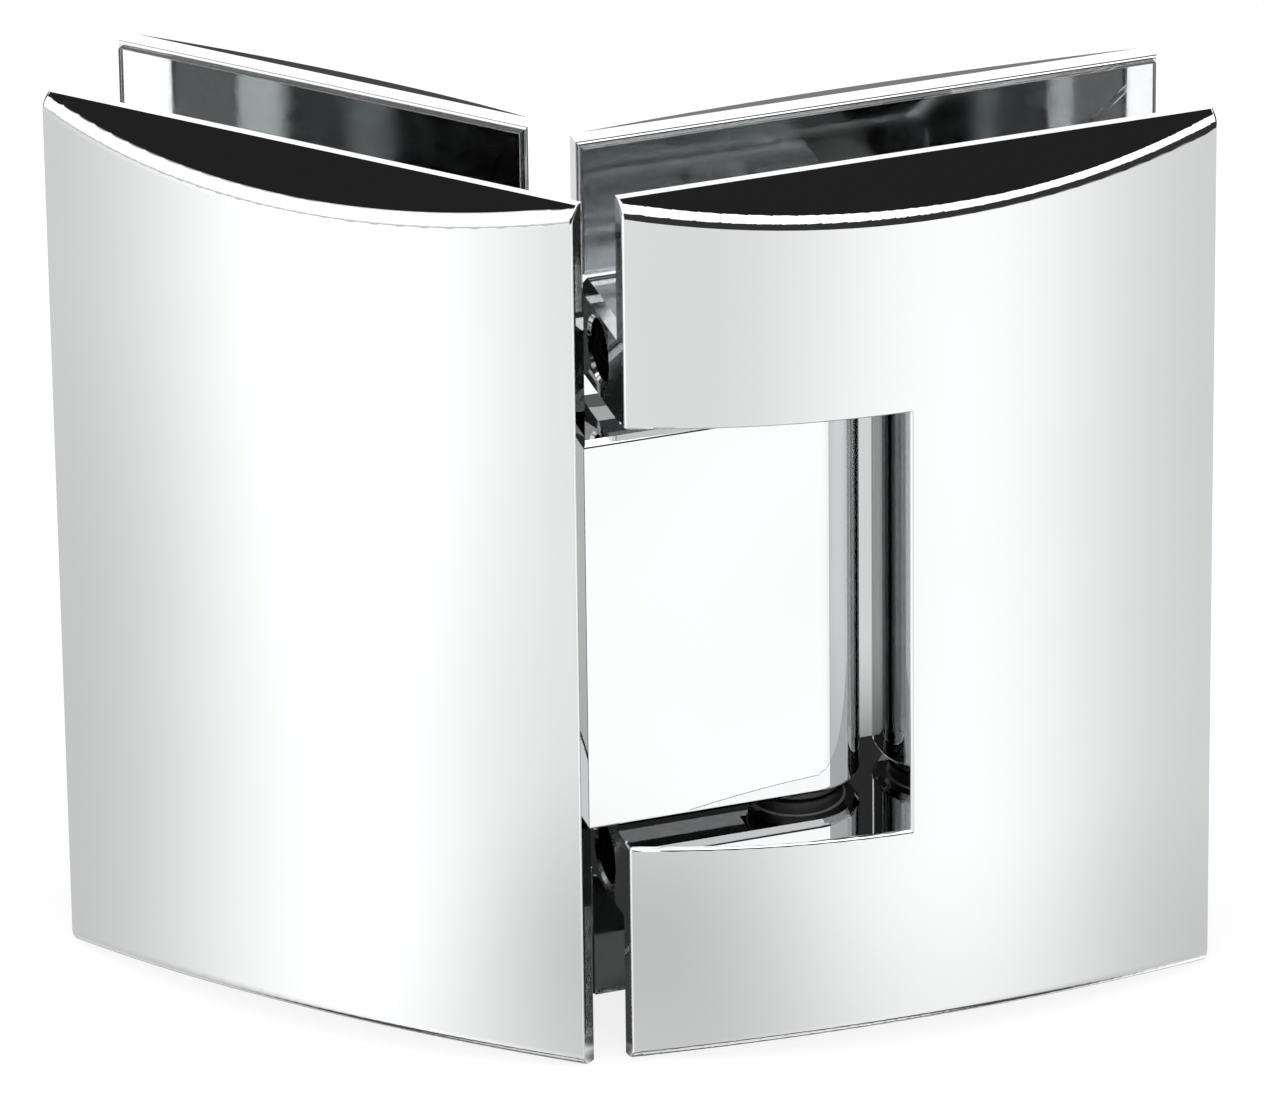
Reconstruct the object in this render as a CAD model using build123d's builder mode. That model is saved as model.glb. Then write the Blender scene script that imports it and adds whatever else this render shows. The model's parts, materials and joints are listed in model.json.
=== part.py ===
from build123d import *
import os
from math import sqrt

# ---------------------------------------------------------------------------
# Glass-to-glass shower door hinge, 135 degrees between the panels.
# Frame: +Z up along the pivot axis, the fixed glass panel lies along X and its
# outer face is the plane Y = 0. The fixed half reaches towards -X, the outside
# of the corner is towards -Y. The origin is the centre of the outer glass seat.
# All sizes in millimetres.
# ---------------------------------------------------------------------------

HEIGHT = 90.0            # overall height of the plates
GLASS = 10.0             # glass thickness between the gaskets
GASKET = 0.75            # gasket thickness
GAP = GLASS + 2 * GASKET # distance between the clamp plates

FIX_W = 55.2             # fixed front plate width
DOOR_W = 57.7            # door front plate width
LAND = 2.0               # edge thickness of the plates
TOP_LAND = 0.85          # flat strip on the front plates' ends, from the glass side to the bevel
SAG = 5.4                # rise of the arched face above the land
BEVEL = 0.40             # slope of the bevelled ends (drop per unit of depth)
BACK_BEVEL = 0.40        # the same on the back plates
RIM = 1.5                # edge rounding round the arched face
BACK_RIM = 0.45
INNER_EDGE = 0.3         # edge rounding round the back plates' inner faces
EDGE = 0.3               # edge rounding at the plates' upright ends

FIX_BACK_INSET_L = 0.6   # fixed back plate: shorter at the far end
FIX_BACK_INSET_R = 11.6  # fixed back plate: shorter at the pivot end
FIX_BACK_SAG = 4.4
DOOR_BACK_INSET_R = 1.0  # door back plate: shorter at the far end
DOOR_BACK_SAG = 5.2

PIN_X, PIN_Y = 39.0, 19.2  # pivot axis
DOOR_LEFT = -18.9          # door plate's pivot-side edge, along the door from the pin
NOTCH_U = 7.0              # notch wall, along the door from the pin
NOTCH_Z = 21.9             # half height of the front plate's notch
BACK_NOTCH_Z = 31.3        # half height of the back plate's notch

BLOCK_T = 12.5           # pivot block thickness
BLOCK_END = 5.85         # block's rounded end, from the pin
BLOCK_R = 5.5            # corner radius of the rounded end
BLOCK_Z = 20.45          # half height of the pivot block
BLOCK_CH = 0.5           # chamfer on the block's ends
BLOCK_EDGE = 0.45        # rounding between chamfer and upright faces
TONGUE_X = -9.2          # far end of the tongue
TONGUE_GAP = 0.05        # clearance between tongue and back plate

EAR_BACK = 5.7           # ear depth behind the door's mid plane
EAR_Z1, EAR_Z2 = NOTCH_Z, 31.1
EAR_CH = 0.85            # chamfer on the ear's end
WEB_T = 3.0              # web that joins the ears behind the notch wall
WEB_R = 1.6              # corner radius of web and ears at the back

PIN_R = 3.5
PIN_CLEAR = 0.05         # running clearance on the pin
PIN_END = 30.5           # half length of the pin
PIN_FLAT = 2.8           # distance of the cam flats from the axis
NECK_R = 2.7
CAM_Z = 10.5             # half length of the cam part
BUSH_R = 4.72
BORE_R = 4.75
BUSH_L = 6.0
WASHER_R = 4.5
WASHER_T = 1.3
LEAF_T = 0.64
LEAF_W = 4.4
LEAF_Z = 14.2            # half length of the leaves

GRUB_R = 2.95
GRUB_HOLE_R = 3.0
GRUB_L = 10.0
GRUB_TIP = 3.1           # pin end flat, distance from the axis

SCREW_R = 2.95           # M6 clamp screws
THREAD_R = 3.0
CLEAR_R = 3.2
HEAD_R = 5.6
HEX_AF = 4.0
FIX_SCREW_X, FIX_SCREW_Z = -5.1, 12.5
DOOR_SCREW_U, DOOR_SCREW_Z = 17.0, 20.0
SLEEVE_R = 4.75
BLOCK_SCREW_X, BLOCK_SCREW_Z = 9.5, 12.5
BLOCK_SCREW_R = 2.45     # M5
BLOCK_HEAD_R = 4.6

SEAT_GAP = 0.8           # glass cut-out's clearance round tongue and ears
CUT_R = 2.0              # corner radius of the gasket cut-outs

os.makedirs("parts", exist_ok=True)

K = sqrt(0.5)
Y_FRONT = -GASKET            # back of the fixed front plate
Y_BACK = GLASS + GASKET      # inner face of the fixed back plate
FX1, FX2 = -FIX_W / 2, FIX_W / 2
BX1, BX2 = FX1 + FIX_BACK_INSET_L, FX2 - FIX_BACK_INSET_R
DU1, DU2 = DOOR_LEFT, DOOR_LEFT + DOOR_W
DB2 = DU2 - DOOR_BACK_INSET_R
HALF = GAP / 2
TOP = HEIGHT / 2

# Door frame: local x runs along the door from the pin, local y points inwards.
DOOR = Plane(origin=(PIN_X, PIN_Y, 0), x_dir=(K, K, 0), z_dir=(0, 0, 1))
# Planes seen end-on along the plates, with local x = inwards and local y = up.
FIX_END = Plane(origin=(FX1 - 1, 0, 0), x_dir=(0, 1, 0), z_dir=(1, 0, 0))
DOOR_END = Plane(
    origin=(PIN_X + (DU1 - 1) * K, PIN_Y + (DU1 - 1) * K, 0),
    x_dir=(-K, K, 0),
    z_dir=(K, K, 0),
)
# Planes facing the plates: local x = along the plate, local y = up, normal = outwards.
FIX_FACE = Plane(origin=(0, 0, 0), x_dir=(1, 0, 0), z_dir=(0, -1, 0))
DOOR_FACE = Plane(origin=(PIN_X, PIN_Y, 0), x_dir=(K, K, 0), z_dir=(K, -K, 0))


def door_xy(u, v):
    """Point of the door frame (u along the door, v outwards) in X, Y."""
    return (PIN_X + (u + v) * K, PIN_Y + (u - v) * K)


def rim_edges(part):
    """Arched edges where the end bevels meet the arched face."""
    return part.edges().filter_by(GeomType.ELLIPSE)


# ---------------------------------------------------------------------------
# Fixed half: clamp plates
# ---------------------------------------------------------------------------
with BuildPart() as fixed_front_plate:
    with BuildSketch(Plane.XY.offset(-TOP)):
        with BuildLine():
            Polyline((FX1, Y_FRONT - LAND), (FX1, Y_FRONT), (FX2, Y_FRONT), (FX2, Y_FRONT - LAND))
            ThreePointArc(
                (FX2, Y_FRONT - LAND), (0, Y_FRONT - LAND - SAG), (FX1, Y_FRONT - LAND)
            )
        make_face()
    extrude(amount=HEIGHT)
    with BuildSketch(FIX_END):
        with BuildLine():
            Polyline(
                (Y_FRONT - TOP_LAND, TOP),
                (Y_FRONT - LAND - SAG - 2, TOP),
                (Y_FRONT - LAND - SAG - 2, TOP - BEVEL * (LAND - TOP_LAND + SAG + 2)),
                close=True,
            )
        make_face()
        mirror(about=Plane.XZ)
    extrude(amount=FIX_W + 2, mode=Mode.SUBTRACT)
    fillet(rim_edges(fixed_front_plate.part), RIM)
    fillet(fixed_front_plate.edges().filter_by(Axis.Z).group_by(Axis.Y)[0], EDGE)
    # blind threaded holes for the clamp screws and the tongue's screws
    with BuildSketch(FIX_FACE.offset(-Y_FRONT)):
        with Locations((FIX_SCREW_X, FIX_SCREW_Z), (FIX_SCREW_X, -FIX_SCREW_Z)):
            Circle(THREAD_R)
    extrude(amount=5.6, mode=Mode.SUBTRACT)
    with BuildSketch(FIX_FACE.offset(-Y_FRONT)):
        with Locations((BLOCK_SCREW_X, BLOCK_SCREW_Z), (BLOCK_SCREW_X, -BLOCK_SCREW_Z)):
            Circle(BLOCK_SCREW_R + 0.05)
    extrude(amount=5.2, mode=Mode.SUBTRACT)

BXM = (BX1 + BX2) / 2
with BuildPart() as fixed_back_plate:
    with BuildSketch(Plane.XY.offset(-TOP)):
        with BuildLine():
            Polyline((BX1, Y_BACK + LAND), (BX1, Y_BACK), (BX2, Y_BACK), (BX2, Y_BACK + LAND))
            ThreePointArc(
                (BX2, Y_BACK + LAND), (BXM, Y_BACK + LAND + FIX_BACK_SAG), (BX1, Y_BACK + LAND)
            )
        make_face()
    extrude(amount=HEIGHT)
    with BuildSketch(FIX_END):
        with BuildLine():
            Polyline(
                (Y_BACK + LAND, TOP),
                (Y_BACK + LAND + FIX_BACK_SAG + 2, TOP),
                (Y_BACK + LAND + FIX_BACK_SAG + 2, TOP - BACK_BEVEL * (FIX_BACK_SAG + 2)),
                close=True,
            )
        make_face()
        mirror(about=Plane.XZ)
    extrude(amount=FIX_W + 2, mode=Mode.SUBTRACT)
    fillet(rim_edges(fixed_back_plate.part), BACK_RIM)
    fillet(fixed_back_plate.edges().filter_by(Axis.Z).group_by(Axis.Y)[-1], EDGE)
    fillet(fixed_back_plate.faces().filter_by(Axis.Y).sort_by(Axis.Y)[0].edges(), INNER_EDGE)
    # countersunk clamp screw holes, opened from the arched side
    with BuildSketch(FIX_FACE.offset(-Y_BACK)):
        with Locations((FIX_SCREW_X, FIX_SCREW_Z), (FIX_SCREW_X, -FIX_SCREW_Z)):
            Circle(CLEAR_R)
    extrude(amount=-(LAND + FIX_BACK_SAG + 1), mode=Mode.SUBTRACT)
    with BuildSketch(FIX_FACE.offset(-(Y_BACK + LAND + FIX_BACK_SAG - 1.0))):
        with Locations((FIX_SCREW_X, FIX_SCREW_Z), (FIX_SCREW_X, -FIX_SCREW_Z)):
            Circle(HEAD_R + 0.15)
    extrude(amount=-3, mode=Mode.SUBTRACT)
    with BuildSketch(FIX_FACE.offset(-(Y_BACK + LAND + FIX_BACK_SAG - 1.0))):
        with Locations((FIX_SCREW_X, FIX_SCREW_Z), (FIX_SCREW_X, -FIX_SCREW_Z)):
            Circle(HEAD_R + 0.15)
    extrude(amount=2.6, taper=45, mode=Mode.SUBTRACT)

# ---------------------------------------------------------------------------
# Fixed half: gaskets, cut out round the tongue
# ---------------------------------------------------------------------------
CUT_X = TONGUE_X - SEAT_GAP
CUT_Z = BLOCK_Z + SEAT_GAP
with BuildPart() as fixed_front_gasket:
    with BuildSketch(FIX_FACE):
        with BuildLine():
            FilletPolyline(
                (FX2 - 0.4, CUT_Z),
                (CUT_X, CUT_Z),
                (CUT_X, -CUT_Z),
                (FX2 - 0.4, -CUT_Z),
                radius=CUT_R,
            )
            Polyline(
                (FX2 - 0.4, -CUT_Z),
                (FX2 - 0.4, -TOP + 0.4),
                (FX1 + 0.4, -TOP + 0.4),
                (FX1 + 0.4, TOP - 0.4),
                (FX2 - 0.4, TOP - 0.4),
                (FX2 - 0.4, CUT_Z),
            )
        make_face()
    extrude(amount=GASKET)

with BuildPart() as fixed_back_gasket:
    with BuildSketch(FIX_FACE.offset(-Y_BACK)):
        with BuildLine():
            FilletPolyline(
                (BX2 - 0.4, CUT_Z),
                (CUT_X, CUT_Z),
                (CUT_X, -CUT_Z),
                (BX2 - 0.4, -CUT_Z),
                radius=CUT_R,
            )
            Polyline(
                (BX2 - 0.4, -CUT_Z),
                (BX2 - 0.4, -TOP + 0.4),
                (BX1 + 0.4, -TOP + 0.4),
                (BX1 + 0.4, TOP - 0.4),
                (BX2 - 0.4, TOP - 0.4),
                (BX2 - 0.4, CUT_Z),
            )
        make_face()
    extrude(amount=GASKET)

# ---------------------------------------------------------------------------
# Pivot block: knuckle round the pin, bent 45 degrees into the fixed half
# ---------------------------------------------------------------------------
BV = BLOCK_T / 2
YB = Y_BACK - TONGUE_GAP
# where the knuckle's inner face meets the tongue's inner face
BEND_X = PIN_X - 2 * K * BV + (YB - PIN_Y)
# the knuckle's outer face ends against the fixed front plate's end face
STEP_X = FX2 + 0.03
STEP_Y = PIN_Y + (STEP_X - PIN_X) - 2 * K * BV
with BuildPart() as pivot_block:
    with BuildSketch(Plane.XY.offset(-BLOCK_Z)):
        with BuildLine():
            Polyline(
                (STEP_X, Y_FRONT),
                (STEP_X, STEP_Y),
                door_xy(BLOCK_END, BV),
                door_xy(BLOCK_END, -BV),
                (BEND_X, YB),
                (TONGUE_X, YB),
                (TONGUE_X, Y_FRONT),
                close=True,
            )
        make_face()
        ends = [
            v
            for v in vertices()
            if (v.X, v.Y) > (0, 0)
            and min(
                (Vector(v.X, v.Y) - Vector(*door_xy(BLOCK_END, s * BV))).length for s in (1, -1)
            )
            < 0.01
        ]
        fillet(ends, BLOCK_R)
        bend = vertices().sort_by_distance((BEND_X, YB, 0))[0]
        fillet(bend, 3.0)
    extrude(amount=2 * BLOCK_Z)
    knuckle_edges = [
        e
        for e in pivot_block.edges()
        if abs(abs(e.center().Z) - BLOCK_Z) < 0.01 and e.center().X > STEP_X + 0.1
    ]
    chamfer(knuckle_edges, BLOCK_CH)
    under_chamfer = [
        e
        for e in pivot_block.edges()
        if abs(abs(e.center().Z) - BLOCK_Z + BLOCK_CH) < 0.01 and e.center().X > STEP_X + 0.1
    ]
    fillet(under_chamfer, BLOCK_EDGE)
    # bore for bushes and pin
    with BuildSketch(DOOR.offset(-BLOCK_Z - 1)):
        Circle(BORE_R)
    extrude(amount=2 * BLOCK_Z + 2, mode=Mode.SUBTRACT)
    # broached keyway that keeps the detent leaves from turning
    with BuildSketch(DOOR.offset(-BLOCK_Z - 1)):
        with Locations((-PIN_FLAT - 3 * LEAF_T - 0.1, 0)):
            Rectangle(4.0, LEAF_W + 0.1, align=(Align.MIN, Align.CENTER))
    extrude(amount=2 * BLOCK_Z + 2, mode=Mode.SUBTRACT)
    # milled window behind the leaves: room for them to bow, hidden by the front plate
    with BuildSketch(Plane(origin=door_xy(-4.0, 0) + (0,), x_dir=(0, 0, 1), z_dir=(-K, -K, 0))):
        SlotOverall(2 * CAM_Z, LEAF_W + 0.2)
    extrude(amount=30, mode=Mode.SUBTRACT)
    # clearance holes for the clamp screws
    with BuildSketch(FIX_FACE.offset(-Y_FRONT + 1)):
        with Locations((FIX_SCREW_X, FIX_SCREW_Z), (FIX_SCREW_X, -FIX_SCREW_Z)):
            Circle(CLEAR_R)
    extrude(amount=-(GAP + 2), mode=Mode.SUBTRACT)
    # countersunk holes for the tongue's own screws
    with BuildSketch(FIX_FACE.offset(-Y_FRONT + 1)):
        with Locations((BLOCK_SCREW_X, BLOCK_SCREW_Z), (BLOCK_SCREW_X, -BLOCK_SCREW_Z)):
            Circle(BLOCK_SCREW_R + 0.2)
    extrude(amount=-(GAP + 2), mode=Mode.SUBTRACT)
    with BuildSketch(FIX_FACE.offset(-YB)):
        with Locations((BLOCK_SCREW_X, BLOCK_SCREW_Z), (BLOCK_SCREW_X, -BLOCK_SCREW_Z)):
            Circle(BLOCK_HEAD_R + 0.2)
    extrude(amount=2.3, taper=45, mode=Mode.SUBTRACT)

# ---------------------------------------------------------------------------
# Bearing pieces in the pivot block
# ---------------------------------------------------------------------------
with BuildPart() as upper_bush:
    with BuildSketch(DOOR.offset(BLOCK_Z - BUSH_L)):
        Circle(BUSH_R)
    extrude(amount=BUSH_L)
    chamfer(upper_bush.faces().sort_by(Axis.Z)[0].edges(), 0.3)
    with BuildSketch(DOOR.offset(BLOCK_Z - BUSH_L)):
        Circle(PIN_R + PIN_CLEAR)
    extrude(amount=BUSH_L, mode=Mode.SUBTRACT)

with BuildPart() as lower_bush:
    with BuildSketch(DOOR.offset(-BLOCK_Z)):
        Circle(BUSH_R)
    extrude(amount=BUSH_L)
    chamfer(lower_bush.faces().sort_by(Axis.Z)[-1].edges(), 0.3)
    with BuildSketch(DOOR.offset(-BLOCK_Z)):
        Circle(PIN_R + PIN_CLEAR)
    extrude(amount=BUSH_L, mode=Mode.SUBTRACT)

with BuildPart() as upper_thrust_washer:
    with BuildSketch(DOOR.offset(BLOCK_Z)):
        Circle(WASHER_R)
        Circle(PIN_R + 0.1, mode=Mode.SUBTRACT)
    extrude(amount=WASHER_T)
    chamfer(
        upper_thrust_washer.edges().filter_by(GeomType.CIRCLE).group_by(SortBy.RADIUS)[-1], 0.12
    )

with BuildPart() as lower_thrust_washer:
    with BuildSketch(DOOR.offset(-BLOCK_Z - WASHER_T)):
        Circle(WASHER_R)
        Circle(PIN_R + 0.1, mode=Mode.SUBTRACT)
    extrude(amount=WASHER_T)
    chamfer(
        lower_thrust_washer.edges().filter_by(GeomType.CIRCLE).group_by(SortBy.RADIUS)[-1], 0.12
    )

# Pack of three flat spring leaves, standing against the pin's flat
with BuildPart() as detent_leaves:
    with BuildSketch(DOOR.offset(-LEAF_Z)):
        with Locations(*[(-PIN_FLAT - 0.03 - LEAF_T * (i + 0.5) - 0.01 * i, 0) for i in range(3)]):
            Rectangle(LEAF_T, LEAF_W)
    extrude(amount=2 * LEAF_Z)

# ---------------------------------------------------------------------------
# Screws of the fixed half
# ---------------------------------------------------------------------------
Y_HEAD = Y_BACK + LAND + FIX_BACK_SAG - 1.0    # top plane of the clamp screw heads
with BuildPart() as fixed_clamp_screws:
    with BuildSketch(FIX_FACE.offset(-Y_HEAD)):
        with Locations((FIX_SCREW_X, FIX_SCREW_Z), (FIX_SCREW_X, -FIX_SCREW_Z)):
            Circle(HEAD_R)
    extrude(amount=2.65, taper=45)
    with BuildSketch(FIX_FACE.offset(-Y_HEAD)):
        with Locations((FIX_SCREW_X, FIX_SCREW_Z), (FIX_SCREW_X, -FIX_SCREW_Z)):
            Circle(SCREW_R)
    extrude(amount=Y_HEAD - Y_FRONT + 4.8)
    with BuildSketch(FIX_FACE.offset(-Y_HEAD)):
        with Locations((FIX_SCREW_X, FIX_SCREW_Z), (FIX_SCREW_X, -FIX_SCREW_Z)):
            RegularPolygon(HEX_AF / 2, 6, major_radius=False)
    extrude(amount=2.6, mode=Mode.SUBTRACT)
    chamfer(fixed_clamp_screws.faces().sort_by(Axis.Y)[0:2].edges(), 0.5)

with BuildPart() as pivot_block_screws:
    with BuildSketch(FIX_FACE.offset(-(YB - 0.1))):
        with Locations((BLOCK_SCREW_X, BLOCK_SCREW_Z), (BLOCK_SCREW_X, -BLOCK_SCREW_Z)):
            Circle(BLOCK_HEAD_R)
    extrude(amount=2.15, taper=45)
    with BuildSketch(FIX_FACE.offset(-(YB - 0.1))):
        with Locations((BLOCK_SCREW_X, BLOCK_SCREW_Z), (BLOCK_SCREW_X, -BLOCK_SCREW_Z)):
            Circle(BLOCK_SCREW_R)
    extrude(amount=YB - 0.1 - Y_FRONT + 4.6)
    with BuildSketch(FIX_FACE.offset(-(YB - 0.1))):
        with Locations((BLOCK_SCREW_X, BLOCK_SCREW_Z), (BLOCK_SCREW_X, -BLOCK_SCREW_Z)):
            RegularPolygon(1.5, 6, major_radius=False)
    extrude(amount=2.0, mode=Mode.SUBTRACT)
    chamfer(pivot_block_screws.faces().sort_by(Axis.Y)[0:2].edges(), 0.4)

# ---------------------------------------------------------------------------
# Door half: clamp plates (local x along the door, local y inwards)
# ---------------------------------------------------------------------------
DUM = (DU1 + DU2) / 2
WEB_U = NOTCH_U + WEB_T
with BuildPart() as door_front_plate:
    with BuildSketch(DOOR.offset(-TOP)):
        with BuildLine():
            Polyline((DU1, -HALF - LAND), (DU1, -HALF), (DU2, -HALF), (DU2, -HALF - LAND))
            ThreePointArc((DU2, -HALF - LAND), (DUM, -HALF - LAND - SAG), (DU1, -HALF - LAND))
        make_face()
    extrude(amount=HEIGHT)
    with BuildSketch(DOOR_END):
        with BuildLine():
            Polyline(
                (-HALF - TOP_LAND, TOP),
                (-HALF - LAND - SAG - 2, TOP),
                (-HALF - LAND - SAG - 2, TOP - BEVEL * (LAND - TOP_LAND + SAG + 2)),
                close=True,
            )
        make_face()
        mirror(about=Plane.XZ)
    extrude(amount=DOOR_W + 2, mode=Mode.SUBTRACT)
    fillet(rim_edges(door_front_plate.part), RIM)
    upright = [
        e
        for e in door_front_plate.edges().filter_by(Axis.Z)
        if DOOR.to_local_coords(e.center()).Y < -HALF - 1
    ]
    fillet(upright, EDGE)
    # the notch for the pivot block
    with BuildSketch(DOOR_FACE):
        with Locations((DU1 - 5, 0)):
            Rectangle(NOTCH_U - DU1 + 5, 2 * NOTCH_Z, align=(Align.MIN, Align.CENTER))
    extrude(amount=HALF + LAND + SAG + 5, mode=Mode.SUBTRACT)
    notch_rim = (
        door_front_plate.edges(Select.LAST)
        .filter_by(GeomType.CIRCLE)
        .filter_by(lambda e: e.radius > 20)
        + door_front_plate.edges(Select.LAST)
        .filter_by(Axis.Z)
        .sort_by_distance(door_xy(NOTCH_U, HALF + LAND + SAG) + (0,))[0:1]
    )
    fillet(notch_rim, 0.35)
    # the two ears that carry the pin, cast on behind the arms
    for side in (1, -1):
        z1, z2 = sorted((side * EAR_Z1, side * EAR_Z2))
        with BuildSketch(DOOR.offset(z1)):
            with BuildLine():
                Polyline(
                    (DU1, -HALF - 0.6),
                    (WEB_U, -HALF - 0.6),
                    (WEB_U, EAR_BACK),
                    (DU1, EAR_BACK),
                    close=True,
                )
            make_face()
            fillet(vertices().sort_by_distance(DOOR.from_local_coords((WEB_U, EAR_BACK, z1)))[0], WEB_R)
        extrude(amount=z2 - z1)
    # the web between the ears carries the notch wall on towards the back
    with BuildSketch(DOOR.offset(-EAR_Z2)):
        with BuildLine():
            Polyline(
                (NOTCH_U, -HALF - 0.6),
                (WEB_U, -HALF - 0.6),
                (WEB_U, EAR_BACK),
                (NOTCH_U, EAR_BACK),
                close=True,
            )
        make_face()
        fillet(vertices().sort_by_distance(DOOR.from_local_coords((WEB_U, EAR_BACK, -EAR_Z2)))[0], WEB_R)
    extrude(amount=2 * EAR_Z2)
    ear_edges = [
        e
        for e in door_front_plate.edges().filter_by(GeomType.LINE)
        if abs(abs(e.center().Z) - EAR_Z2) < 0.01
        and abs(DOOR.to_local_coords(e.center()).X - DU1) < 0.01
    ]
    chamfer(ear_edges, EAR_CH)
    # pin holes, straight through both ears
    with BuildSketch(DOOR.offset(-EAR_Z2 - 1)):
        Circle(PIN_R + 0.03)
    extrude(amount=2 * EAR_Z2 + 2, mode=Mode.SUBTRACT)
    # grub screw holes, from the ears' end faces to the pin
    with BuildSketch(Plane(origin=door_xy(DU1, 0) + (0,), x_dir=(0, 0, 1), z_dir=(-K, -K, 0))):
        with Locations(((EAR_Z1 + EAR_Z2) / 2, 0), (-(EAR_Z1 + EAR_Z2) / 2, 0)):
            Circle(GRUB_HOLE_R)
    extrude(amount=DU1, mode=Mode.SUBTRACT)
    mouth = [
        e
        for e in door_front_plate.edges().filter_by(GeomType.CIRCLE)
        if abs(e.radius - GRUB_HOLE_R) < 0.01
        and abs(DOOR.to_local_coords(e.arc_center).X - DU1) < 0.05
    ]
    chamfer(mouth, 0.3)
    # blind threaded holes for the clamp screws
    with BuildSketch(DOOR_FACE.offset(HALF)):
        with Locations((DOOR_SCREW_U, DOOR_SCREW_Z), (DOOR_SCREW_U, -DOOR_SCREW_Z)):
            Circle(THREAD_R)
    extrude(amount=5.6, mode=Mode.SUBTRACT)

DBM = (DU1 + DB2) / 2
with BuildPart() as door_back_plate:
    with BuildSketch(DOOR.offset(-TOP)):
        with BuildLine():
            Polyline((DU1, HALF + LAND), (DU1, HALF), (DB2, HALF), (DB2, HALF + LAND))
            ThreePointArc(
                (DB2, HALF + LAND), (DBM, HALF + LAND + DOOR_BACK_SAG), (DU1, HALF + LAND)
            )
        make_face()
    extrude(amount=HEIGHT)
    with BuildSketch(DOOR_END):
        with BuildLine():
            Polyline(
                (HALF + LAND, TOP),
                (HALF + LAND + DOOR_BACK_SAG + 2, TOP),
                (HALF + LAND + DOOR_BACK_SAG + 2, TOP - BACK_BEVEL * (DOOR_BACK_SAG + 2)),
                close=True,
            )
        make_face()
        mirror(about=Plane.XZ)
    extrude(amount=DOOR_W + 2, mode=Mode.SUBTRACT)
    fillet(rim_edges(door_back_plate.part), BACK_RIM)
    # taller notch, clear of block and ears
    with BuildSketch(DOOR_FACE):
        with BuildLine():
            FilletPolyline(
                (DU1 - 5, BACK_NOTCH_Z),
                (NOTCH_U + 0.85, BACK_NOTCH_Z),
                (NOTCH_U + 0.85, -BACK_NOTCH_Z),
                (DU1 - 5, -BACK_NOTCH_Z),
                radius=1.0,
            )
            Line((DU1 - 5, -BACK_NOTCH_Z), (DU1 - 5, BACK_NOTCH_Z))
        make_face()
    extrude(amount=-(HALF + LAND + DOOR_BACK_SAG + 5), mode=Mode.SUBTRACT)
    arm_corners = [
        e
        for e in door_back_plate.edges()
        if abs(abs(e.center().Z) - BACK_NOTCH_Z) < 0.01
        and abs(DOOR.to_local_coords(e.center()).X - DU1) < 0.01
    ]
    fillet(arm_corners, 0.7)
    inner_face = door_back_plate.faces().filter_by(DOOR_FACE).sort_by(Axis((0, 0, 0), (K, -K, 0)))[-1]
    fillet(inner_face.edges(), INNER_EDGE)
    # countersunk clamp screw holes, opened from the arched side
    with BuildSketch(DOOR_FACE.offset(-HALF)):
        with Locations((DOOR_SCREW_U, DOOR_SCREW_Z), (DOOR_SCREW_U, -DOOR_SCREW_Z)):
            Circle(CLEAR_R)
    extrude(amount=-(LAND + DOOR_BACK_SAG + 1), mode=Mode.SUBTRACT)
    with BuildSketch(DOOR_FACE.offset(-(HALF + LAND + DOOR_BACK_SAG - 1.2))):
        with Locations((DOOR_SCREW_U, DOOR_SCREW_Z), (DOOR_SCREW_U, -DOOR_SCREW_Z)):
            Circle(HEAD_R + 0.15)
    extrude(amount=-3, mode=Mode.SUBTRACT)
    with BuildSketch(DOOR_FACE.offset(-(HALF + LAND + DOOR_BACK_SAG - 1.2))):
        with Locations((DOOR_SCREW_U, DOOR_SCREW_Z), (DOOR_SCREW_U, -DOOR_SCREW_Z)):
            Circle(HEAD_R + 0.15)
    extrude(amount=2.6, taper=45, mode=Mode.SUBTRACT)

# ---------------------------------------------------------------------------
# Door half: gaskets, cut out round ears, block and sleeves
# ---------------------------------------------------------------------------
DCUT_U = DOOR_SCREW_U + SLEEVE_R + SEAT_GAP
DCUT_Z = EAR_Z2 + SEAT_GAP
with BuildPart() as door_front_gasket:
    with BuildSketch(DOOR_FACE.offset(HALF - GASKET)):
        with BuildLine():
            FilletPolyline(
                (DU1 + 0.4, DCUT_Z),
                (DCUT_U, DCUT_Z),
                (DCUT_U, -DCUT_Z),
                (DU1 + 0.4, -DCUT_Z),
                radius=CUT_R,
            )
            Polyline(
                (DU1 + 0.4, -DCUT_Z),
                (DU1 + 0.4, -TOP + 0.4),
                (DU2 - 0.4, -TOP + 0.4),
                (DU2 - 0.4, TOP - 0.4),
                (DU1 + 0.4, TOP - 0.4),
                (DU1 + 0.4, DCUT_Z),
            )
        make_face()
    extrude(amount=GASKET)

with BuildPart() as door_back_gasket:
    with BuildSketch(DOOR_FACE.offset(-HALF)):
        with BuildLine():
            FilletPolyline(
                (DU1 + 0.4, BACK_NOTCH_Z + 0.4),
                (DCUT_U, BACK_NOTCH_Z + 0.4),
                (DCUT_U, -BACK_NOTCH_Z - 0.4),
                (DU1 + 0.4, -BACK_NOTCH_Z - 0.4),
                radius=CUT_R,
            )
            Polyline(
                (DU1 + 0.4, -BACK_NOTCH_Z - 0.4),
                (DU1 + 0.4, -TOP + 0.4),
                (DB2 - 0.4, -TOP + 0.4),
                (DB2 - 0.4, TOP - 0.4),
                (DU1 + 0.4, TOP - 0.4),
                (DU1 + 0.4, BACK_NOTCH_Z + 0.4),
            )
        make_face()
    extrude(amount=GASKET)

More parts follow.
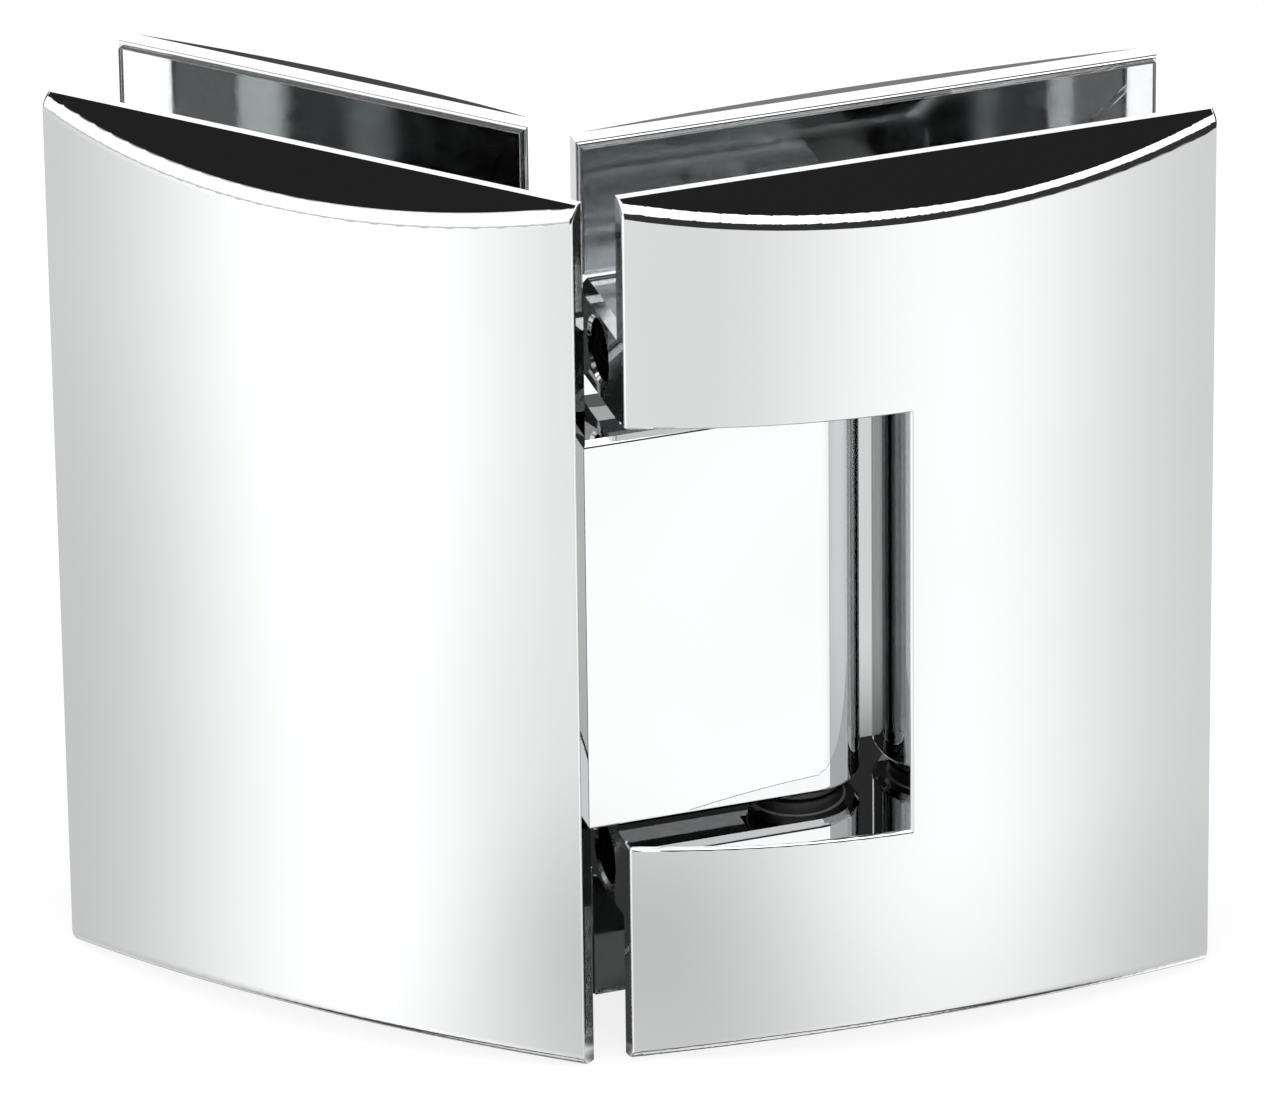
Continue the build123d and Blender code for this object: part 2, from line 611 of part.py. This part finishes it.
# ---------------------------------------------------------------------------
# Screws, sleeves and pin of the door half
# ---------------------------------------------------------------------------
V_HEAD = HALF + LAND + DOOR_BACK_SAG - 1.2
with BuildPart() as door_clamp_screws:
    with BuildSketch(DOOR_FACE.offset(-V_HEAD)):
        with Locations((DOOR_SCREW_U, DOOR_SCREW_Z), (DOOR_SCREW_U, -DOOR_SCREW_Z)):
            Circle(HEAD_R)
    extrude(amount=2.65, taper=45)
    with BuildSketch(DOOR_FACE.offset(-V_HEAD)):
        with Locations((DOOR_SCREW_U, DOOR_SCREW_Z), (DOOR_SCREW_U, -DOOR_SCREW_Z)):
            Circle(SCREW_R)
    extrude(amount=V_HEAD + HALF + 4.8)
    with BuildSketch(DOOR_FACE.offset(-V_HEAD)):
        with Locations((DOOR_SCREW_U, DOOR_SCREW_Z), (DOOR_SCREW_U, -DOOR_SCREW_Z)):
            RegularPolygon(HEX_AF / 2, 6, major_radius=False)
    extrude(amount=2.6, mode=Mode.SUBTRACT)
    tips = door_clamp_screws.faces().filter_by(DOOR_FACE).sort_by(
        Axis((0, 0, 0), (K, -K, 0))
    )[-2:]
    chamfer(tips.edges(), 0.5)

with BuildPart() as door_screw_sleeves:
    with BuildSketch(DOOR_FACE.offset(-HALF + 0.05)):
        with Locations((DOOR_SCREW_U, DOOR_SCREW_Z), (DOOR_SCREW_U, -DOOR_SCREW_Z)):
            Circle(SLEEVE_R)
            Circle(SCREW_R + 0.1, mode=Mode.SUBTRACT)
    extrude(amount=GAP - 0.1)

with BuildPart() as pivot_pin:
    with BuildSketch(DOOR.offset(-PIN_END)):
        Circle(PIN_R)
    extrude(amount=2 * PIN_END)
    chamfer(pivot_pin.edges(), 0.4)
    # cam flats in the middle, on both sides
    with BuildSketch(DOOR.offset(-CAM_Z)):
        with Locations((PIN_FLAT, 0)):
            Rectangle(4, 10, align=(Align.MIN, Align.CENTER))
        with Locations((-PIN_FLAT, 0)):
            Rectangle(4, 10, align=(Align.MAX, Align.CENTER))
    extrude(amount=2 * CAM_Z, mode=Mode.SUBTRACT)
    # turned necks between cam and bearings, clear of the leaves' ends
    for z1 in (CAM_Z, -BLOCK_Z + BUSH_L):
        with BuildSketch(DOOR.offset(z1)):
            Circle(PIN_R + 1)
            Circle(NECK_R, mode=Mode.SUBTRACT)
        extrude(amount=BLOCK_Z - BUSH_L - CAM_Z, mode=Mode.SUBTRACT)
    # end flats for the grub screws
    for z1 in (EAR_Z1 + 0.6, -PIN_END):
        with BuildSketch(DOOR.offset(z1)):
            with Locations((-GRUB_TIP, 0)):
                Rectangle(4, 10, align=(Align.MAX, Align.CENTER))
        extrude(amount=PIN_END - EAR_Z1 - 0.6, mode=Mode.SUBTRACT)

GRUB_Z = (EAR_Z1 + EAR_Z2) / 2
with BuildPart() as upper_grub_screw:
    with BuildSketch(
        Plane(origin=door_xy(-GRUB_TIP - 0.02, 0) + (GRUB_Z,), x_dir=(0, 0, 1), z_dir=(-K, -K, 0))
    ):
        Circle(GRUB_R)
    extrude(amount=GRUB_L)
    chamfer(upper_grub_screw.edges().filter_by(GeomType.CIRCLE), 0.35)
    with BuildSketch(
        Plane(
            origin=door_xy(-GRUB_TIP - 0.02 - GRUB_L, 0) + (GRUB_Z,),
            x_dir=(0, 0, 1),
            z_dir=(-K, -K, 0),
        )
    ):
        RegularPolygon(1.5, 6, major_radius=False)
    extrude(amount=-4, mode=Mode.SUBTRACT)

with BuildPart() as lower_grub_screw:
    with BuildSketch(
        Plane(origin=door_xy(-GRUB_TIP - 0.02, 0) + (-GRUB_Z,), x_dir=(0, 0, 1), z_dir=(-K, -K, 0))
    ):
        Circle(GRUB_R)
    extrude(amount=GRUB_L)
    chamfer(lower_grub_screw.edges().filter_by(GeomType.CIRCLE), 0.35)
    with BuildSketch(
        Plane(
            origin=door_xy(-GRUB_TIP - 0.02 - GRUB_L, 0) + (-GRUB_Z,),
            x_dir=(0, 0, 1),
            z_dir=(-K, -K, 0),
        )
    ):
        RegularPolygon(1.5, 6, major_radius=False)
    extrude(amount=-4, mode=Mode.SUBTRACT)

# ---------------------------------------------------------------------------
# Labels and files
# ---------------------------------------------------------------------------
fixed_front_plate.part.label = "fixed_front_plate"
export_step(fixed_front_plate.part, "parts/fixed_front_plate.step")
fixed_back_plate.part.label = "fixed_back_plate"
export_step(fixed_back_plate.part, "parts/fixed_back_plate.step")
fixed_front_gasket.part.label = "fixed_front_gasket"
export_step(fixed_front_gasket.part, "parts/fixed_front_gasket.step")
fixed_back_gasket.part.label = "fixed_back_gasket"
export_step(fixed_back_gasket.part, "parts/fixed_back_gasket.step")
fixed_clamp_screws.part.label = "fixed_clamp_screws"
export_step(fixed_clamp_screws.part, "parts/fixed_clamp_screws.step")
pivot_block.part.label = "pivot_block"
export_step(pivot_block.part, "parts/pivot_block.step")
pivot_block_screws.part.label = "pivot_block_screws"
export_step(pivot_block_screws.part, "parts/pivot_block_screws.step")
upper_bush.part.label = "upper_bush"
export_step(upper_bush.part, "parts/upper_bush.step")
lower_bush.part.label = "lower_bush"
export_step(lower_bush.part, "parts/lower_bush.step")
upper_thrust_washer.part.label = "upper_thrust_washer"
export_step(upper_thrust_washer.part, "parts/upper_thrust_washer.step")
lower_thrust_washer.part.label = "lower_thrust_washer"
export_step(lower_thrust_washer.part, "parts/lower_thrust_washer.step")
detent_leaves.part.label = "detent_leaves"
export_step(detent_leaves.part, "parts/detent_leaves.step")
door_front_plate.part.label = "door_front_plate"
export_step(door_front_plate.part, "parts/door_front_plate.step")
door_back_plate.part.label = "door_back_plate"
export_step(door_back_plate.part, "parts/door_back_plate.step")
door_front_gasket.part.label = "door_front_gasket"
export_step(door_front_gasket.part, "parts/door_front_gasket.step")
door_back_gasket.part.label = "door_back_gasket"
export_step(door_back_gasket.part, "parts/door_back_gasket.step")
door_clamp_screws.part.label = "door_clamp_screws"
export_step(door_clamp_screws.part, "parts/door_clamp_screws.step")
door_screw_sleeves.part.label = "door_screw_sleeves"
export_step(door_screw_sleeves.part, "parts/door_screw_sleeves.step")
pivot_pin.part.label = "pivot_pin"
export_step(pivot_pin.part, "parts/pivot_pin.step")
upper_grub_screw.part.label = "upper_grub_screw"
export_step(upper_grub_screw.part, "parts/upper_grub_screw.step")
lower_grub_screw.part.label = "lower_grub_screw"
export_step(lower_grub_screw.part, "parts/lower_grub_screw.step")
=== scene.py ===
import json
import math

import bmesh
import bpy
from mathutils import Matrix, Vector


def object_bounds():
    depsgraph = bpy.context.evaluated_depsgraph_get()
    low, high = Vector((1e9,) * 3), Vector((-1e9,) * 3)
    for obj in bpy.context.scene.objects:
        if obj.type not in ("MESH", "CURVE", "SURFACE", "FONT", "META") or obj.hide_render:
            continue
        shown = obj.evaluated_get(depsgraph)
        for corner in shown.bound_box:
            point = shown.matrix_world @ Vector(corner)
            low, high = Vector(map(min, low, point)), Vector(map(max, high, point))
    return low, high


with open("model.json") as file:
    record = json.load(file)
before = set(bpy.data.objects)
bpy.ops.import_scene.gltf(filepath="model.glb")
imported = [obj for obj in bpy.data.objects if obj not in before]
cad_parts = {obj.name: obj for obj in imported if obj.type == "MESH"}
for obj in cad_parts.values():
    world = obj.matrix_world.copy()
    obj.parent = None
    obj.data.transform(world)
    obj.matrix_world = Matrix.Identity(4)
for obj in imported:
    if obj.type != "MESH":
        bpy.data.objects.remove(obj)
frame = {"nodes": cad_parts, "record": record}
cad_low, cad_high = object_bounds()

nodes = frame["nodes"]
scene = bpy.context.scene
MM = 0.001
K = math.sqrt(0.5)


# ---------------------------------------------------------------------------
# Node helpers
# ---------------------------------------------------------------------------
class Net:
    """A small wrapper that adds nodes and joins them."""

    def __init__(self, tree):
        self.tree = tree
        tree.nodes.clear()

    def add(self, kind, **settings):
        node = self.tree.nodes.new(kind)
        for key, value in settings.items():
            setattr(node, key, value)
        return node

    def join(self, out, into):
        self.tree.links.new(out, into)

    def feed(self, socket, value):
        if isinstance(value, bpy.types.NodeSocket):
            self.join(value, socket)
        else:
            socket.default_value = value

    def math(self, op, a, b=None, c=None, clamp=False):
        node = self.add("ShaderNodeMath", operation=op, use_clamp=clamp)
        self.feed(node.inputs[0], a)
        if b is not None:
            self.feed(node.inputs[1], b)
        if c is not None:
            self.feed(node.inputs[2], c)
        return node.outputs[0]

    def ramp(self, value, low, high, out_low=0.0, out_high=1.0, smooth=True):
        node = self.add(
            "ShaderNodeMapRange", interpolation_type="SMOOTHSTEP" if smooth else "LINEAR", clamp=True
        )
        self.feed(node.inputs["Value"], value)
        self.feed(node.inputs["From Min"], low)
        self.feed(node.inputs["From Max"], high)
        self.feed(node.inputs["To Min"], out_low)
        self.feed(node.inputs["To Max"], out_high)
        return node.outputs["Result"]

    def mix(self, factor, a, b):
        node = self.add("ShaderNodeMix", data_type="FLOAT")
        self.feed(node.inputs[0], factor)
        self.feed(node.inputs[2], a)
        self.feed(node.inputs[3], b)
        return node.outputs[0]

    def mix_colour(self, factor, a, b):
        node = self.add("ShaderNodeMix", data_type="RGBA")
        self.feed(node.inputs[0], factor)
        self.feed(node.inputs[6], a if isinstance(a, bpy.types.NodeSocket) else (*a, 1.0))
        self.feed(node.inputs[7], b if isinstance(b, bpy.types.NodeSocket) else (*b, 1.0))
        return node.outputs[2]

    def noise(self, vector, scale, detail=3.0, rough=0.5, distortion=0.0):
        node = self.add("ShaderNodeTexNoise", noise_dimensions="3D")
        self.join(vector, node.inputs["Vector"])
        node.inputs["Scale"].default_value = scale
        node.inputs["Detail"].default_value = detail
        node.inputs["Roughness"].default_value = rough
        node.inputs["Distortion"].default_value = distortion
        return node.outputs["Fac"]

    def stretch(self, vector, scale, turn=(0.0, 0.0, 0.0)):
        node = self.add("ShaderNodeMapping", vector_type="POINT")
        self.join(vector, node.inputs["Vector"])
        node.inputs["Scale"].default_value = scale
        node.inputs["Rotation"].default_value = turn
        return node.outputs["Vector"]

    def bump(self, height, distance, strength=1.0, normal=None):
        node = self.add("ShaderNodeBump")
        node.inputs["Strength"].default_value = strength
        node.inputs["Distance"].default_value = distance
        self.join(height, node.inputs["Height"])
        if normal is not None:
            self.join(normal, node.inputs["Normal"])
        return node.outputs["Normal"]


def new_material(name):
    mat = bpy.data.materials.new(name)
    mat.use_nodes = True
    net = Net(mat.node_tree)
    out = net.add("ShaderNodeOutputMaterial")
    shader = net.add("ShaderNodeBsdfPrincipled")
    net.join(shader.outputs["BSDF"], out.inputs["Surface"])
    here = net.add("ShaderNodeTexCoord").outputs["Object"]
    return mat, net, shader, here


# ---------------------------------------------------------------------------
# Materials
# ---------------------------------------------------------------------------
def chrome_material():
    """Polished chrome plating on a cast and ground body."""
    mat, net, shader, here = new_material("polished_chrome")
    shader.inputs["Metallic"].default_value = 1.0
    # the plate's faint blue-grey tint shifts a little over centimetres
    cloud = net.noise(here, 45.0, 2.0)
    tint = net.mix_colour(cloud, (0.560, 0.566, 0.570), (0.590, 0.594, 0.596))
    net.join(tint, shader.inputs["Base Color"])
    # buffing haze: long faint streaks along the plate, and softer patches
    streak = net.noise(net.stretch(here, (60.0, 60.0, 2200.0)), 1.0, 3.0, 0.55)
    patch = net.noise(here, 160.0, 4.0, 0.6)
    haze = net.math("MULTIPLY", net.ramp(streak, 0.50, 0.80), net.ramp(patch, 0.42, 0.75))
    net.join(net.mix(haze, 0.018, 0.050), shader.inputs["Roughness"])
    # the casting's last trace of waviness under the plating
    wave = net.noise(here, 190.0, 1.5, 0.4)
    net.join(net.bump(wave, 0.0000012), shader.inputs["Normal"])
    return mat


def pvc_material():
    """Clear soft PVC sheet."""
    mat, net, shader, here = new_material("clear_pvc_sheet")
    shader.inputs["Transmission Weight"].default_value = 1.0
    shader.inputs["IOR"].default_value = 1.53
    cloud = net.noise(here, 90.0, 3.0)
    net.join(net.mix_colour(cloud, (0.955, 0.968, 0.972), (0.985, 0.990, 0.990)), shader.inputs["Base Color"])
    net.join(net.ramp(net.noise(here, 420.0, 3.0), 0.3, 0.8, 0.03, 0.11), shader.inputs["Roughness"])
    net.join(net.bump(net.noise(here, 260.0, 2.0), 0.000006), shader.inputs["Normal"])
    return mat


def screw_material():
    """Bright zinc-plated screws."""
    mat, net, shader, here = new_material("plated_screw_steel")
    shader.inputs["Metallic"].default_value = 1.0
    grain = net.noise(here, 900.0, 4.0, 0.6)
    blot = net.noise(here, 210.0, 3.0)
    net.join(net.mix_colour(blot, (0.66, 0.665, 0.66), (0.77, 0.77, 0.76)), shader.inputs["Base Color"])
    net.join(net.ramp(grain, 0.25, 0.75, 0.16, 0.34), shader.inputs["Roughness"])
    net.join(net.bump(grain, 0.000008), shader.inputs["Normal"])
    return mat


def black_material():
    """Black-oxide grub screws."""
    mat, net, shader, here = new_material("black_oxide_steel")
    shader.inputs["Metallic"].default_value = 1.0
    grain = net.noise(here, 1100.0, 4.0, 0.6)
    blot = net.noise(here, 300.0, 3.0)
    net.join(net.mix_colour(net.ramp(blot, 0.35, 0.75), (0.045, 0.045, 0.050), (0.105, 0.102, 0.100)), shader.inputs["Base Color"])
    net.join(net.ramp(grain, 0.25, 0.75, 0.26, 0.46), shader.inputs["Roughness"])
    net.join(net.bump(grain, 0.000010), shader.inputs["Normal"])
    return mat


def pin_material():
    """Turned and ground steel: fine rings round the pivot axis."""
    mat, net, shader, here = new_material("turned_steel")
    shader.inputs["Metallic"].default_value = 1.0
    rings = net.noise(net.stretch(here, (35.0, 35.0, 5200.0)), 1.0, 4.0, 0.65)
    blot = net.noise(here, 170.0, 3.0)
    net.join(net.mix_colour(blot, (0.60, 0.60, 0.595), (0.73, 0.73, 0.72)), shader.inputs["Base Color"])
    net.join(net.ramp(rings, 0.25, 0.8, 0.14, 0.36), shader.inputs["Roughness"])
    net.join(net.bump(rings, 0.000009), shader.inputs["Normal"])
    return mat


def spring_material():
    """Blue-tempered spring steel with a rolled grain."""
    mat, net, shader, here = new_material("tempered_spring_steel")
    shader.inputs["Metallic"].default_value = 1.0
    grain = net.noise(net.stretch(here, (2600.0, 2600.0, 40.0)), 1.0, 4.0, 0.6)
    temper = net.noise(here, 110.0, 3.0)
    net.join(net.mix_colour(net.ramp(temper, 0.3, 0.7), (0.30, 0.33, 0.40), (0.47, 0.47, 0.49)), shader.inputs["Base Color"])
    net.join(net.ramp(grain, 0.25, 0.8, 0.20, 0.42), shader.inputs["Roughness"])
    net.join(net.bump(grain, 0.000007), shader.inputs["Normal"])
    return mat


def acetal_material():
    """Black acetal thrust washers."""
    mat, net, shader, here = new_material("black_acetal")
    cloud = net.noise(here, 150.0, 3.0)
    pits = net.noise(here, 1700.0, 3.0, 0.6)
    net.join(net.mix_colour(cloud, (0.018, 0.018, 0.020), (0.038, 0.037, 0.037)), shader.inputs["Base Color"])
    net.join(net.ramp(pits, 0.25, 0.8, 0.34, 0.52), shader.inputs["Roughness"])
    net.join(net.bump(pits, 0.000012), shader.inputs["Normal"])
    return mat


def nylon_material():
    """Moulded natural nylon."""
    mat, net, shader, here = new_material("moulded_nylon")
    cloud = net.noise(here, 120.0, 3.0)
    pits = net.noise(here, 1500.0, 3.0, 0.6)
    net.join(net.mix_colour(cloud, (0.80, 0.785, 0.735), (0.885, 0.875, 0.835)), shader.inputs["Base Color"])
    net.join(net.ramp(pits, 0.25, 0.8, 0.36, 0.56), shader.inputs["Roughness"])
    shader.inputs["Subsurface Weight"].default_value = 0.15
    shader.inputs["Subsurface Radius"].default_value = (0.0012, 0.0010, 0.0008)
    net.join(net.bump(pits, 0.000015), shader.inputs["Normal"])
    return mat


finish_of = {
    "chrome": chrome_material(),
    "clear_pvc": pvc_material(),
    "screw_steel": screw_material(),
    "black_steel": black_material(),
    "pin_steel": pin_material(),
    "acetal": acetal_material(),
    "spring_steel": spring_material(),
    "nylon": nylon_material(),
}
slot_of = {s["node"]: s["material_slot"] for s in frame["record"]["subparts"]}
for name, obj in nodes.items():
    obj.data.materials.clear()
    obj.data.materials.append(finish_of[slot_of[name]])

# The clear sheets are drawn a hair thinner, so that light goes through them to the plate behind.
for name in ("fixed_front_gasket", "fixed_back_gasket", "door_front_gasket", "door_back_gasket"):
    weld = nodes[name].modifiers.new("weld", "WELD")
    weld.merge_threshold = 0.000001
    shrink = nodes[name].modifiers.new("shrink", "DISPLACE")
    shrink.direction = "NORMAL"
    shrink.mid_level = 0.0
    shrink.strength = -0.00003


# ---------------------------------------------------------------------------
# Studio: floor, surroundings, camera
# ---------------------------------------------------------------------------
def floor_material():
    mat, net, shader, here = new_material("pale_floor")
    cloud = net.noise(here, 3.0, 2.0)
    net.join(net.mix_colour(cloud, (0.148, 0.148, 0.148), (0.154, 0.154, 0.154)), shader.inputs["Base Color"])
    shader.inputs["Roughness"].default_value = 0.9
    shader.inputs["Specular IOR Level"].default_value = 0.0
    shader.inputs["Emission Color"].default_value = (1.0, 1.0, 1.0, 1.0)
    shader.inputs["Emission Strength"].default_value = 0.83
    return mat


def sheet_on_floor(name, side, height):
    mesh = bpy.data.meshes.new(name)
    mesh.from_pydata(
        [(-side, -side, 0), (side, -side, 0), (side, side, 0), (-side, side, 0)], [], [(0, 1, 2, 3)]
    )
    obj = bpy.data.objects.new(name, mesh)
    obj.location = (0, 0, cad_low.z + height)
    scene.collection.objects.link(obj)
    return obj


floor = sheet_on_floor("floor", 6.0, 0.0)
floor.data.materials.append(floor_material())
floor.visible_glossy = False
floor.visible_transmission = False


def painted_shade_material():
    """Painted shade on the floor, seen only in the polished faces' reflections: it darkens beneath the hinge and
    close in front of it.
    """
    mat = bpy.data.materials.new("painted_floor_shade")
    mat.use_nodes = True
    net = Net(mat.node_tree)
    out = net.add("ShaderNodeOutputMaterial")
    clear = net.add("ShaderNodeBsdfTransparent")
    net.join(clear.outputs[0], out.inputs["Surface"])
    split = net.add("ShaderNodeSeparateXYZ")
    net.join(net.add("ShaderNodeTexCoord").outputs["Object"], split.inputs[0])
    x, y = split.outputs[0], split.outputs[1]

    def outside(value, centre, half):
        off = net.math("ABSOLUTE", net.math("SUBTRACT", value, centre * MM))
        return net.math("MAXIMUM", net.math("SUBTRACT", off, half * MM), 0.0)

    def away(a, b):
        return net.math("SQRT", net.math("ADD", net.math("MULTIPLY", a, a), net.math("MULTIPLY", b, b)))

    def product(*factors):
        total = factors[0]
        for factor in factors[1:]:
            total = net.math("MULTIPLY", total, factor)
        return total

    along = net.math("MULTIPLY", net.math("ADD", x, y), K)
    across = net.math("MULTIPLY", net.math("SUBTRACT", x, y), K)
    door_along, door_across = (39.0 + 19.2) * K, (39.0 - 19.2) * K
    # painted shade, darkest in the two slots for the glass
    fixed_slot = away(outside(x, 0.0, 27.6), outside(y, 5.0, 5.2))
    door_slot = away(outside(along, door_along + 9.95, 28.8), outside(across, door_across, 5.2))
    under = net.ramp(net.math("MINIMUM", fixed_slot, door_slot), 0.0, 0.0025, 0.08, 1.0)
    # painted shade: a long faint one before the fixed half, a short one before the door half
    fixed_far = net.ramp(away(outside(x, 0.0, 27.6), outside(y, 4.5, 9.0)), 0.05, 0.15, 0.09, 0.0)
    fixed_near = net.math("SUBTRACT", 1.0, net.math("MULTIPLY", fixed_far, net.ramp(x, 0.02, 0.06, 1.0, 0.0)))
    door_near = net.ramp(
        away(outside(along, door_along + 9.95, 28.8), outside(across, door_across, 11.0)), 0.0, 0.04, 0.87, 1.0
    )
    # painted shade at the outer corner between the halves
    bend_shade = net.ramp(away(net.math("SUBTRACT", x, 0.042), net.math("SUBTRACT", y, -0.027)), 0.0, 0.038, 0.80, 1.0)
    # the inner corner lies in their shadow: painted shadow there
    inner = net.ramp(away(net.math("SUBTRACT", x, 0.030), net.math("SUBTRACT", y, 0.030)), 0.018, 0.054, 0.90, 0.0)
    side = net.math("MULTIPLY", net.ramp(y, 0.008, 0.014), net.ramp(across, 0.014, 0.008))
    nook_shade = net.math("SUBTRACT", 1.0, net.math("MULTIPLY", inner, side))
    net.join(product(under, fixed_near, door_near, bend_shade, nook_shade), clear.inputs["Color"])
    return mat


# a transparent sheet that paints shade into what the polished faces reflect; the camera, diffuse light and shadows
# don't see it
shade = sheet_on_floor("painted_floor_shade", 0.5, 0.00005)
shade.data.materials.append(painted_shade_material())
shade.visible_camera = False
shade.visible_diffuse = False
shade.visible_shadow = False

# The surroundings: two broad soft boxes in front, one behind, a bright ring above, a dark ceiling.
world = bpy.data.worlds.new("studio")
scene.world = world
world.use_nodes = True
net = Net(world.node_tree)
out = net.add("ShaderNodeOutputWorld")
direction = net.add("ShaderNodeSeparateXYZ")
net.join(net.add("ShaderNodeTexCoord").outputs["Generated"], direction.inputs[0])
dx, dy, dz = direction.outputs
turn = net.math("ARCTAN2", dx, net.math("MULTIPLY", dy, -1.0))


def soft_box(centre, width, power):
    """A soft box at an azimuth, in degrees: 0 is straight in front, + towards +X."""
    off = net.math("WRAP", net.math("SUBTRACT", turn, math.radians(centre)), math.pi, -math.pi)
    square = net.math("MULTIPLY", off, off)
    bell = net.math("EXPONENT", net.math("MULTIPLY", square, -0.5 / math.radians(width) ** 2))
    return net.math("MULTIPLY", bell, power)


def from_to(low_deg, high_deg):
    return net.ramp(turn, math.radians(low_deg), math.radians(high_deg))


low = net.math("ADD", soft_box(-19.0, 23.3, 1.27), soft_box(67.0, 19.5, 0.92))
low = net.math("ADD", low, soft_box(-114.0, 12.0, 0.12))
low = net.math("ADD", low, soft_box(160.0, 19.0, 1.30))
low = net.math("ADD", low, 1.215)
# a dark upright screen stands behind, to the left
low = net.math("MULTIPLY", low, net.math("SUBTRACT", 1.0, soft_box(-152.0, 11.0, 0.72)))
to_right = from_to(12.0, 22.0)
to_left = from_to(-80.0, -95.0)
to_back = from_to(112.0, 128.0)
# the ring above is strongest on the right
ring = net.mix(net.math("SUBTRACT", to_right, to_back), 2.25, 3.4)
light = net.mix(net.ramp(dz, -0.03, 0.06), low, ring)
# a dark room shows between floor and lights, only a thin line of it at the left, and two tall
# dark walls of it beside the inner corner
room = net.math("ADD", to_right, to_left, clamp=True)
wall_right = net.math("SUBTRACT", to_back, from_to(160.0, 176.0))
wall_left = net.math("SUBTRACT", to_left, from_to(-130.0, -142.0))
foot = net.mix(room, -0.07, -0.26)
head = net.mix(room, 0.10, net.mix(net.math("ADD", wall_left, wall_right, clamp=True), 0.38, 0.60))
band = net.math(
    "MULTIPLY",
    net.ramp(dz, net.math("SUBTRACT", foot, 0.04), net.math("ADD", foot, 0.04)),
    net.ramp(dz, net.math("ADD", head, 0.05), net.math("SUBTRACT", head, 0.05)),
)
light = net.mix(band, light, net.mix(room, 1.15, 0.07))
ceiling = net.mix(to_left, 0.848, 0.80)
# the dark ceiling begins overhead and reaches back
overhead = net.math("MULTIPLY", net.ramp(dz, ceiling, net.math("ADD", ceiling, 0.035)), net.ramp(dy, -0.02, 0.06))
light = net.mix(overhead, light, 0.032)
light = net.mix(net.math("SUBTRACT", net.ramp(dz, -0.86, -0.92), net.ramp(dz, -0.945, -0.965)), light, 0.15)
path = net.add("ShaderNodeLightPath")
light = net.mix(path.outputs["Is Camera Ray"], light, 1.0)
background = net.add("ShaderNodeBackground")
net.join(light, background.inputs["Strength"])
net.join(background.outputs[0], out.inputs["Surface"])

scene.view_settings.view_transform = "Standard"
scene.view_settings.look = "None"
scene.cycles.max_bounces = 28
scene.cycles.glossy_bounces = 16
scene.cycles.transmission_bounces = 20
scene.cycles.transparent_max_bounces = 20

# The camera stands in front, to the right and above.
target = Vector((23.9286, 15.4087, 0.1332)) * MM
place = Vector((508.292, -918.657, 553.972)) * MM
back = (place - target).normalized()
right = (-back).cross(Vector((0, 0, 1))).normalized()
up = right.cross(-back)
roll = math.radians(-0.722)
r2 = right * math.cos(roll) + up * math.sin(roll)
u2 = up * math.cos(roll) - right * math.sin(roll)
cam_data = bpy.data.cameras.new("camera")
cam_data.sensor_width = 36.0
cam_data.lens = 361.72
cam_data.clip_start, cam_data.clip_end = 0.05, 50.0
cam = bpy.data.objects.new("camera", cam_data)
cam.matrix_world = Matrix(
    (
        (r2.x, u2.x, back.x, place.x),
        (r2.y, u2.y, back.y, place.y),
        (r2.z, u2.z, back.z, place.z),
        (0, 0, 0, 1),
    )
)
scene.collection.objects.link(cam)
scene.camera = cam
